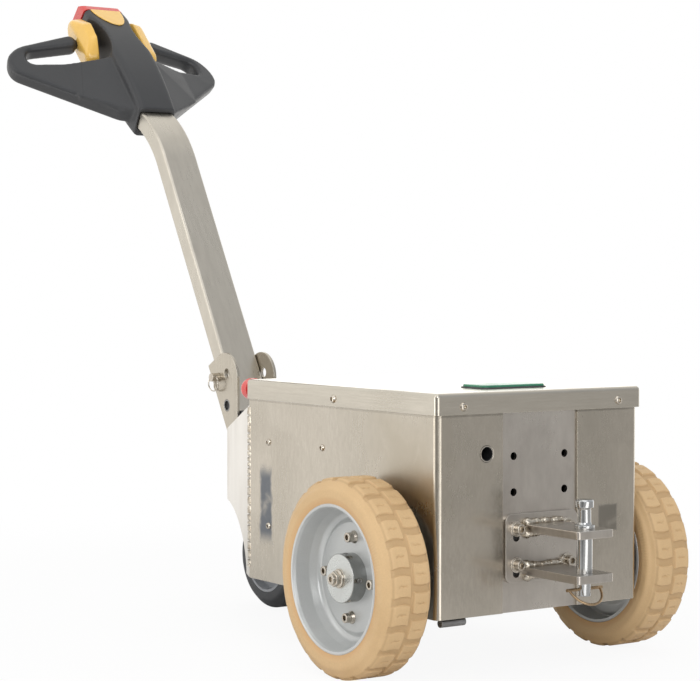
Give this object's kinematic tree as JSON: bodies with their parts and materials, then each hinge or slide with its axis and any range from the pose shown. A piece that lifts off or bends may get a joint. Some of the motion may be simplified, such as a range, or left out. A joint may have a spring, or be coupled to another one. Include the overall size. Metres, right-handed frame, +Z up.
{
  "type": "electric tow tractor",
  "caption": "Small pedestrian tow tractor with a stainless box body, solid drive tyres, a nose castor, a clevis hitch with tow pin, and a tilting tiller with a moulded control head.",
  "frame": {"origin": "on the floor, at the middle of the whole machine's length and width", "axes": "+X towards the hitch, +Y to the right of someone at the hitch who faces the tiller, +Z up"},
  "size_m": [1.3484, 0.492, 0.9663],
  "materials": {
    "stainless": "brushed, handled, with weld heat marks",
    "zinc_steel": "bright zinc plate",
    "clip_wire": "yellow-passivated spring wire",
    "silver_paint": "silver powder coat",
    "castor_centre": "grey moulded",
    "tan_tyre": "non-marking tan rubber",
    "castor_rubber": "dark rubber",
    "head_plastic": "fine moulded grain",
    "yellow_plastic": "glossy moulded",
    "red_plastic": "glossy moulded",
    "green_plastic": "glossy moulded",
    "battery_case": "plain case",
    "drive_casting": "cast"
  },
  "bodies": {
    "chassis": {"hitch_plate": "stainless", "bulkhead": "stainless", "floor_plate": "stainless", "belly_hinge": "stainless", "lid": "stainless", "indicator_gasket": "castor_rubber", "indicator_panel": "green_plastic", "charge_socket": "head_plastic", "emergency_stop": "red_plastic", "battery": "battery_case", "drive_unit": "drive_casting", "nose_cover": "stainless", "nose_end_plate": "stainless", "castor_mount_plate": "stainless", "foot_buffer": "castor_rubber", "tiller_pivot": "stainless", "lock_pin": "stainless", "castor_plate": "zinc_steel", "hitch_base": "stainless", "hitch_upper_plate": "stainless", "hitch_lower_plate": "stainless", "hitch_bolts": "stainless", "tow_pin": "zinc_steel", "pin_clip": "clip_wire", "side_panel_left": "stainless", "nose_side_left": "stainless", "tiller_ear_left": "stainless", "side_panel_right": "stainless", "nose_side_right": "stainless", "tiller_ear_right": "stainless"},
    "drive_wheel_left": {"tyre_left": "tan_tyre", "rim_left": "silver_paint", "drive_hub_left": "zinc_steel", "half_shaft_left": "zinc_steel"},
    "drive_wheel_right": {"tyre_right": "tan_tyre", "rim_right": "silver_paint", "drive_hub_right": "zinc_steel", "half_shaft_right": "zinc_steel"},
    "castor_swivel_fork": {"castor_fork": "zinc_steel", "castor_axle": "zinc_steel"},
    "castor_wheel": {"castor_rim": "castor_centre", "castor_tyre": "castor_rubber"},
    "tiller": {"tiller_arm": "stainless", "head_core": "head_plastic", "red_cap": "red_plastic", "top_button": "yellow_plastic", "hand_loop_left": "head_plastic", "hand_loop_right": "head_plastic", "thumb_paddle_left": "yellow_plastic", "thumb_paddle_right": "yellow_plastic"}
  },
  "joints": [
    {"name": "drive_wheel_left_spin", "type": "hinge", "parent": "chassis", "child": "drive_wheel_left", "pos_m": [0.46169, -0.2105, 0.125], "axis": [0, 1, 0], "continuous": true},
    {"name": "drive_wheel_right_spin", "type": "hinge", "parent": "chassis", "child": "drive_wheel_right", "pos_m": [0.46169, 0.2105, 0.125], "axis": [0, 1, 0], "continuous": true},
    {"name": "castor_swivel", "type": "hinge", "parent": "chassis", "child": "castor_swivel_fork", "pos_m": [-0.01482, 0, 0.195], "axis": [0, 0, 1], "continuous": true},
    {"name": "castor_wheel_spin", "type": "hinge", "parent": "castor_swivel_fork", "child": "castor_wheel", "pos_m": [-0.05282, 0, 0.077], "axis": [0, 1, 0], "continuous": true},
    {"name": "tiller_tilt", "type": "hinge", "parent": "chassis", "child": "tiller", "pos_m": [-0.14281, 0, 0.301], "axis": [0, 1, 0], "range_deg": [0, 30.2]}
  ]
}
